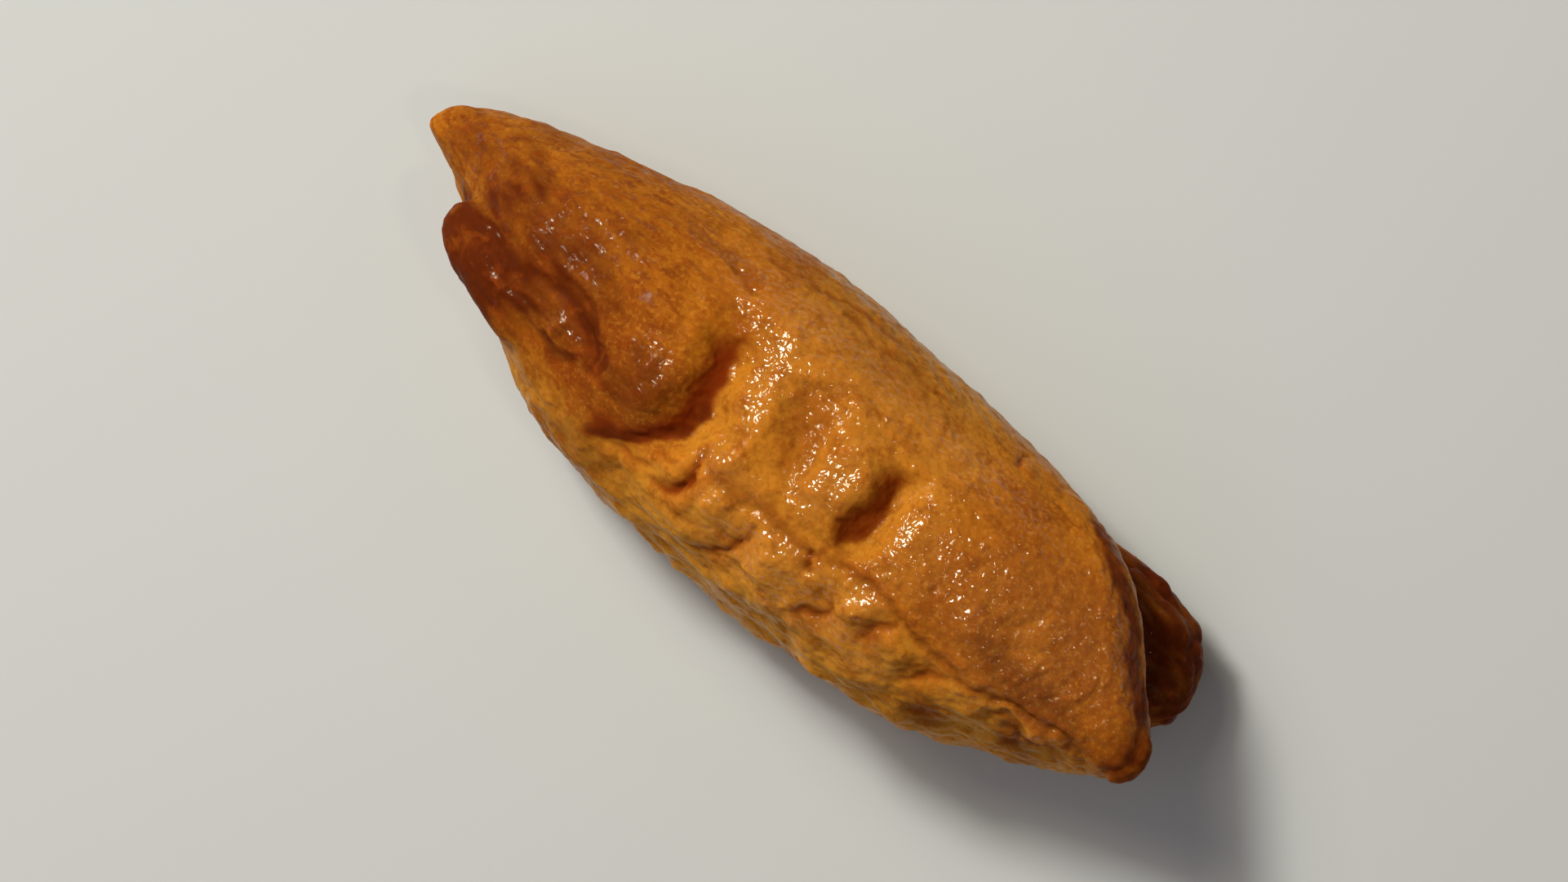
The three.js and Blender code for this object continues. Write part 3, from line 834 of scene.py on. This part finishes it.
class INARI_colours(bpy.types.PropertyGroup):
    """Colours of the simmered skin."""
    amber: colour_setting("Amber", "Open skin of the top face", "#B86F1B")
    brown: colour_setting("Brown", "Browner patches of the top face", "#A15A16")
    umber: colour_setting("Umber", "Mottle and streaks where frying took most", "#823B11")
    gold: colour_setting("Gold", "Paler skin of the puckered front", "#C9862B")
    # Russet and umber also paint the shade along the rim and in the folds, and the shadow over the lower
    # corner.
    russet: colour_setting("Russet", "Ears and tips soaked by the broth", "#5C240B")
    # This colour also paints the shade in the folds, creases, grooves and hollows.
    broth: colour_setting("Broth", "Bottoms of the folds, where the broth gathers", "#84350D")


class INARI_stage(bpy.types.PropertyGroup):
    """Table, lights and camera."""
    board: colour_setting("Board", "Colour of the pale board under the pouch", "#C6CCDD")
    view_width: length_setting("View Width", "Width of the picture at the pouch", 140, 20)
    camera_height: length_setting("Camera Height", "Height of the camera above the board", 640, 100)
    key_watts: power_setting("Key Light", "Power of the key light", 3.0)
    softbox_watts: power_setting("Softbox", "Power of the broad light round the key, for a soft sheen", 2.6)
    kicker_watts: power_setting("Kicker", "Power of the small light on the blunt end's crinkles", 0.3)
    fill_watts: power_setting("Fill Light", "Power of the overhead fill", 1.2)


# ---------------------------------------------------------------- operators

SMOOTHING = 12  # rounds that soften the corners between the body and its lobes
BROAD_SWELL, CLOSE_SWELL, PUCKER_SWELL = 0.38, 0.2, 0.14  # heights in mm of the swells over the rice
MIDDLE_PALE, UNDER_PALE = 0.7, 0.8  # how pale these are beside the puckered front
SIDE_FILM = 0.4  # film left on the sides, where most of the syrup has run down
DRIED_IN = 0.4  # share of the film that the darkest skin has taken up


class INARI_OT_pouch(bpy.types.Operator):
    """Fold the pouch: its body, ear and corner under one skin, with folds, creases and wrinkles"""
    bl_idname = "inari.pouch"
    bl_label = "Fold Pouch"

    def execute(self, context):
        sizes = context.scene.inari_sizes
        ear = lobe_points(radii=[share * sizes.ear_radius / MM for share in EAR_TAPER], **EAR)
        corner = lobe_points(radii=[share * sizes.corner_radius / MM for share in CORNER_TAPER], **CORNER)
        grids = [
            sphere_grid(*BODY_STEPS, body_points),
            sphere_grid(*LOBE_STEPS, ear),
            sphere_grid(*LOBE_STEPS, corner),
        ]
        mesh = remeshed("pouch_skin", *joined(grids), sizes.skin_step / MM, SMOOTHING)

        plan, normals = read_vectors(mesh, "co"), read_vectors(mesh, "normal")
        strokes = (
            fold_strokes(sizes.fold_depth / MM) + edge_strokes() + crease_strokes(sizes.crease_depth / MM)
            + ear_strokes() + rim_strokes()
        )
        drawn_on = wavered(wavered(plan, 4, 0.7), 1.5, 0.35)
        # Besides their depths the strokes give broth stain and painted shade along their lines.
        depth, broth = stroked(drawn_on, normals, strokes)
        calm = 1 - 0.75 * np.clip((plan[:, 1] - 1) / 5, 0, 1)
        puckered = np.clip((-plan[:, 1] - 4) / 4, 0, 1) * np.clip((plan[:, 0] + 8) / 6, 0.3, 1)
        swell = calm * (BROAD_SWELL * ripple(plan, 17, 1) + CLOSE_SWELL * ripple(plan, 7, 2))
        swell += PUCKER_SWELL * puckered * ripple(plan, 4.6, 3)
        write_points(mesh, plan + (swell - depth)[:, None] * normals)

        where = regions(plan)
        wrinkles = wrinkle_heights(plan, where)
        points = read_vectors(mesh, "co") + wrinkles[:, None] * read_vectors(mesh, "normal")
        points[:, 2] = np.maximum(points[:, 2], 0)
        write_points(mesh, laid_in_box(points))

        upright = read_vectors(mesh, "normal")[:, 2]
        facing_up, sideways = smoothstep(upright, 0.5, 0.8), smoothstep(-upright, -0.4, -0.1)
        uneven = 0.15 * ripple(plan, 6, 5) + 0.4 * noise(plan / (6, 0.8, 1.2) + 71)
        # The toast mask holds real browning, painted shade along the rim and in the folds, and a painted
        # shadow over the lower corner.
        toast = np.maximum(where["toast"], stroked(drawn_on, normals, toast_and_shade_strokes())[1]) * (1 + uneven)
        write_mask(mesh, "toast", toast)
        write_mask(mesh, "broth", broth)
        pale = np.maximum.reduce(
            [where["front"], MIDDLE_PALE * where["middle"], UNDER_PALE * where["under"]]
        )
        write_mask(mesh, "pale", pale * (1 - broth))
        write_mask(mesh, "drawn", np.maximum(where["low_end"], where["ear"]))
        glaze = np.maximum(where["glaze"] * (1 - broth) * facing_up, SIDE_FILM * sideways)
        write_mask(mesh, "glaze", glaze * (1 - DRIED_IN * np.clip(where["toast"], 0, 1)))
        mesh.polygons.foreach_set("use_smooth", [True] * len(mesh.polygons))
        mesh.materials.clear()
        mesh.materials.append(simmered_tofu(context.scene.inari_colours))

        pouch = add_object("pouch_skin", mesh)
        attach(pouch, "root")
        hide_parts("pouch")
        return {"FINISHED"}


PIECE_ANGLE = 43.24  # degrees that the pouch's length runs down to the right in the picture
LIGHT_HEADING = (-53.5, 7.3)  # plan direction towards the key light, in the pouch's frame
LIGHT_HEIGHT = 52  # degrees of the key light above the board
KEY_DISTANCE, SOFTBOX_DISTANCE = 0.7, 0.75  # metres from the pouch's middle
KICKER_PLACE = (0.26, 0.02, 0.7)  # metres from the pouch's middle
FILL_PLACE = (-0.2, -0.4, 0.8)
BOARD_SIZE = 3.0  # metres


def add_area_light(name, size, watts, place, target, tint):
    light = bpy.data.lights.new(name, "AREA")
    light.shape = "DISK"
    light.size = size
    light.energy = watts
    light.color = tint
    lamp = bpy.data.objects.new(name, light)
    bpy.context.scene.collection.objects.link(lamp)
    lamp.location = place
    lamp.rotation_euler = (target - lamp.location).to_track_quat("-Z", "Y").to_euler()
    return lamp


class INARI_OT_stage(bpy.types.Operator):
    """Lay the pale board and set the lights and the camera above the pouch"""
    bl_idname = "inari.stage"
    bl_label = "Set Stage"

    def execute(self, context):
        stage = context.scene.inari_stage
        low, high = (Vector(corner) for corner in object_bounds())
        middle = (low + high) / 2
        half = BOARD_SIZE / 2
        corners = [(-half, -half, 0), (half, -half, 0), (half, half, 0), (-half, half, 0)]
        board = add_object("board", mesh_from("board", corners, [(0, 1, 2, 3)]))
        board.location.z = low.z
        board.data.materials.append(matte_board(stage.board))
        board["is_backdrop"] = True

        heading = Vector((*LIGHT_HEADING, 0)).normalized()
        height = math.radians(LIGHT_HEIGHT)
        towards = heading * math.cos(height) + Vector((0, 0, math.sin(height)))
        lamps = {
            name: add_area_light(name, size, watts, middle + place, middle, linear(tint))
            for name, size, watts, place, tint in (
                ("key", 0.14, stage.key_watts, KEY_DISTANCE * towards, "#FFFAE0"),
                ("softbox", 0.36, stage.softbox_watts, SOFTBOX_DISTANCE * towards, "#FFF0C8"),
                ("kicker", 0.06, stage.kicker_watts, Vector(KICKER_PLACE), "#FFE6B0"),
                ("fill", 0.9, stage.fill_watts, Vector(FILL_PLACE), "#F4F2EE"),
            )
        }
        lamps["fill"].visible_glossy = False

        world = bpy.data.worlds.new("studio")
        world.use_nodes = True
        background = world.node_tree.nodes["Background"]
        background.inputs["Color"].default_value = (*linear("#E4DFD8"), 1)
        background.inputs["Strength"].default_value = 0.1
        context.scene.world = world

        lens = bpy.data.cameras.new("camera")
        lens.sensor_width = 36
        lens.lens = lens.sensor_width * stage.camera_height / stage.view_width
        lens.clip_start, lens.clip_end = 0.01, 10
        camera = bpy.data.objects.new("camera", lens)
        context.scene.collection.objects.link(camera)
        camera.location = (middle.x, middle.y, stage.camera_height)
        camera.rotation_euler = (0, 0, math.radians(PIECE_ANGLE))
        context.scene.camera = camera
        context.scene.view_settings.view_transform = "Standard"
        return {"FINISHED"}


OPERATORS = (INARI_OT_pouch, INARI_OT_stage)


class INARI_PT_panel(bpy.types.Panel):
    """Lists the steps that make the dressed pouch"""
    bl_idname = "INARI_PT_panel"
    bl_label = "Inari Sushi"
    bl_space_type = "VIEW_3D"
    bl_region_type = "UI"
    bl_category = "Inari"

    def draw(self, context):
        for group in GROUPS:
            box = self.layout.box()
            settings = getattr(context.scene, group)
            for name in settings.__annotations__:
                box.prop(settings, name)
        for step in OPERATORS:
            self.layout.operator(step.bl_idname)


GROUPS = {"inari_sizes": INARI_sizes, "inari_colours": INARI_colours, "inari_stage": INARI_stage}
CLASSES = (*GROUPS.values(), *OPERATORS, INARI_PT_panel)


def register():
    for cls in CLASSES:
        bpy.utils.register_class(cls)
    for name, group in GROUPS.items():
        setattr(bpy.types.Scene, name, bpy.props.PointerProperty(type=group))


def unregister():
    for name in GROUPS:
        delattr(bpy.types.Scene, name)
    for cls in reversed(CLASSES):
        bpy.utils.unregister_class(cls)


def main():
    register()
    bpy.ops.inari.pouch()
    bpy.ops.inari.stage()


if __name__ == "__main__":
    main()
